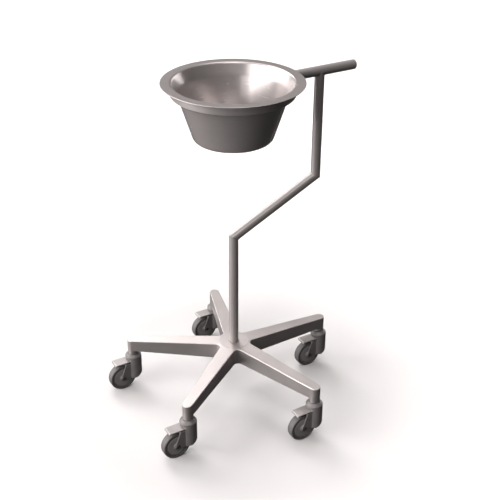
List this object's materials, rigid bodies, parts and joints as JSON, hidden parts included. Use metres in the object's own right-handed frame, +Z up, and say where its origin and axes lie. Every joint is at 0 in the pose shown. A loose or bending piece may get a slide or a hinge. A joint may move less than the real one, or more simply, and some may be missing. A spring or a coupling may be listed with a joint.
{
  "type": "wheeled bowl stand",
  "caption": "Steel bowl with a flat rim, lifted out of a ring on a cranked post with a push handle, on a five-arm base with braked castors.",
  "frame": {"origin": "on the floor under the hub and the bowl, which share one vertical axis", "axes": "+Z up, +X along the crank and the handle and over arm 1, +Y to the left of that"},
  "size_m": [0.652, 0.5766, 0.8958],
  "materials": {
    "cast_aluminium": "satin, bead-blasted and sealed casting",
    "satin_stainless_tube": "satin, fine grain along the tube",
    "end_cap_steel": "satin, turned",
    "bowl_stainless": "satin, spun, fine rings round the axis",
    "plated_steel": "zinc plated",
    "housing_plastic": "fine moulded texture, warm dark grey",
    "wheel_plastic": "fine moulded texture",
    "grey_tyre": "matte grey rubber",
    "pedal_metal": "light grey satin coating",
    "shoe_rubber": "matte"
  },
  "bodies": {
    "stand": {"star_base": "cast_aluminium", "hub_washer": "plated_steel", "hub_bolt": "plated_steel", "post_plug": "plated_steel", "post_lower": "satin_stainless_tube", "post_link": "satin_stainless_tube", "post_upper": "satin_stainless_tube", "bowl_ring": "satin_stainless_tube", "handle_tube": "satin_stainless_tube", "handle_end_cap": "end_cap_steel", "castor_stem_1": "plated_steel", "castor_stem_2": "plated_steel", "castor_stem_3": "plated_steel", "castor_stem_4": "plated_steel", "castor_stem_5": "plated_steel", "castor_race_1": "plated_steel", "castor_race_2": "plated_steel", "castor_race_3": "plated_steel", "castor_race_4": "plated_steel", "castor_race_5": "plated_steel"},
    "bowl": {"bowl": "bowl_stainless"},
    "castor_1": {"castor_housing_1": "housing_plastic", "castor_axle_1": "plated_steel", "pedal_pin_1": "plated_steel"},
    "wheel_1": {"castor_rim_1": "wheel_plastic", "castor_tyre_1": "grey_tyre"},
    "pedal_1": {"brake_pedal_1": "pedal_metal", "brake_shoe_1": "shoe_rubber"},
    "castor_2": {"castor_housing_2": "housing_plastic", "castor_axle_2": "plated_steel", "pedal_pin_2": "plated_steel"},
    "wheel_2": {"castor_rim_2": "wheel_plastic", "castor_tyre_2": "grey_tyre"},
    "pedal_2": {"brake_pedal_2": "pedal_metal", "brake_shoe_2": "shoe_rubber"},
    "castor_3": {"castor_housing_3": "housing_plastic", "castor_axle_3": "plated_steel", "pedal_pin_3": "plated_steel"},
    "wheel_3": {"castor_rim_3": "wheel_plastic", "castor_tyre_3": "grey_tyre"},
    "pedal_3": {"brake_pedal_3": "pedal_metal", "brake_shoe_3": "shoe_rubber"},
    "castor_4": {"castor_housing_4": "housing_plastic", "castor_axle_4": "plated_steel", "pedal_pin_4": "plated_steel"},
    "wheel_4": {"castor_rim_4": "wheel_plastic", "castor_tyre_4": "grey_tyre"},
    "pedal_4": {"brake_pedal_4": "pedal_metal", "brake_shoe_4": "shoe_rubber"},
    "castor_5": {"castor_housing_5": "housing_plastic", "castor_axle_5": "plated_steel", "pedal_pin_5": "plated_steel"},
    "wheel_5": {"castor_rim_5": "wheel_plastic", "castor_tyre_5": "grey_tyre"},
    "pedal_5": {"brake_pedal_5": "pedal_metal", "brake_shoe_5": "shoe_rubber"}
  },
  "joints": [
    {"name": "bowl_lift", "type": "slide", "parent": "stand", "child": "bowl", "axis": [0, 0, 1], "range_m": [0, 0.2]},
    {"name": "castor_swivel_1", "type": "hinge", "parent": "stand", "child": "castor_1", "pos_m": [0.28, 0, 0.1], "axis": [0, 0, 1], "continuous": true},
    {"name": "wheel_spin_1", "type": "hinge", "parent": "castor_1", "child": "wheel_1", "pos_m": [0.243, 0, 0.0375], "axis": [0, 1, 0], "continuous": true},
    {"name": "pedal_press_1", "type": "hinge", "parent": "castor_1", "child": "pedal_1", "pos_m": [0.267, 0, 0.0855], "axis": [0, -1, 0], "range_deg": [0, 9]},
    {"name": "castor_swivel_2", "type": "hinge", "parent": "stand", "child": "castor_2", "pos_m": [0.08653, 0.2663, 0.1], "axis": [0, 0, 1], "continuous": true},
    {"name": "wheel_spin_2", "type": "hinge", "parent": "castor_2", "child": "wheel_2", "pos_m": [0.04952, 0.2663, 0.0375], "axis": [0, 1, 0], "continuous": true},
    {"name": "pedal_press_2", "type": "hinge", "parent": "castor_2", "child": "pedal_2", "pos_m": [0.07352, 0.2663, 0.0855], "axis": [0, -1, 0], "range_deg": [0, 9]},
    {"name": "castor_swivel_3", "type": "hinge", "parent": "stand", "child": "castor_3", "pos_m": [-0.22653, 0.16458, 0.1], "axis": [0, 0, 1], "continuous": true},
    {"name": "wheel_spin_3", "type": "hinge", "parent": "castor_3", "child": "wheel_3", "pos_m": [-0.26353, 0.16458, 0.0375], "axis": [0, 1, 0], "continuous": true},
    {"name": "pedal_press_3", "type": "hinge", "parent": "castor_3", "child": "pedal_3", "pos_m": [-0.23952, 0.16458, 0.0855], "axis": [0, -1, 0], "range_deg": [0, 9]},
    {"name": "castor_swivel_4", "type": "hinge", "parent": "stand", "child": "castor_4", "pos_m": [-0.22653, -0.16458, 0.1], "axis": [0, 0, 1], "continuous": true},
    {"name": "wheel_spin_4", "type": "hinge", "parent": "castor_4", "child": "wheel_4", "pos_m": [-0.26353, -0.16458, 0.0375], "axis": [0, 1, 0], "continuous": true},
    {"name": "pedal_press_4", "type": "hinge", "parent": "castor_4", "child": "pedal_4", "pos_m": [-0.23952, -0.16458, 0.0855], "axis": [0, -1, 0], "range_deg": [0, 9]},
    {"name": "castor_swivel_5", "type": "hinge", "parent": "stand", "child": "castor_5", "pos_m": [0.08653, -0.2663, 0.1], "axis": [0, 0, 1], "continuous": true},
    {"name": "wheel_spin_5", "type": "hinge", "parent": "castor_5", "child": "wheel_5", "pos_m": [0.04952, -0.2663, 0.0375], "axis": [0, 1, 0], "continuous": true},
    {"name": "pedal_press_5", "type": "hinge", "parent": "castor_5", "child": "pedal_5", "pos_m": [0.07352, -0.2663, 0.0855], "axis": [0, -1, 0], "range_deg": [0, 9]}
  ]
}
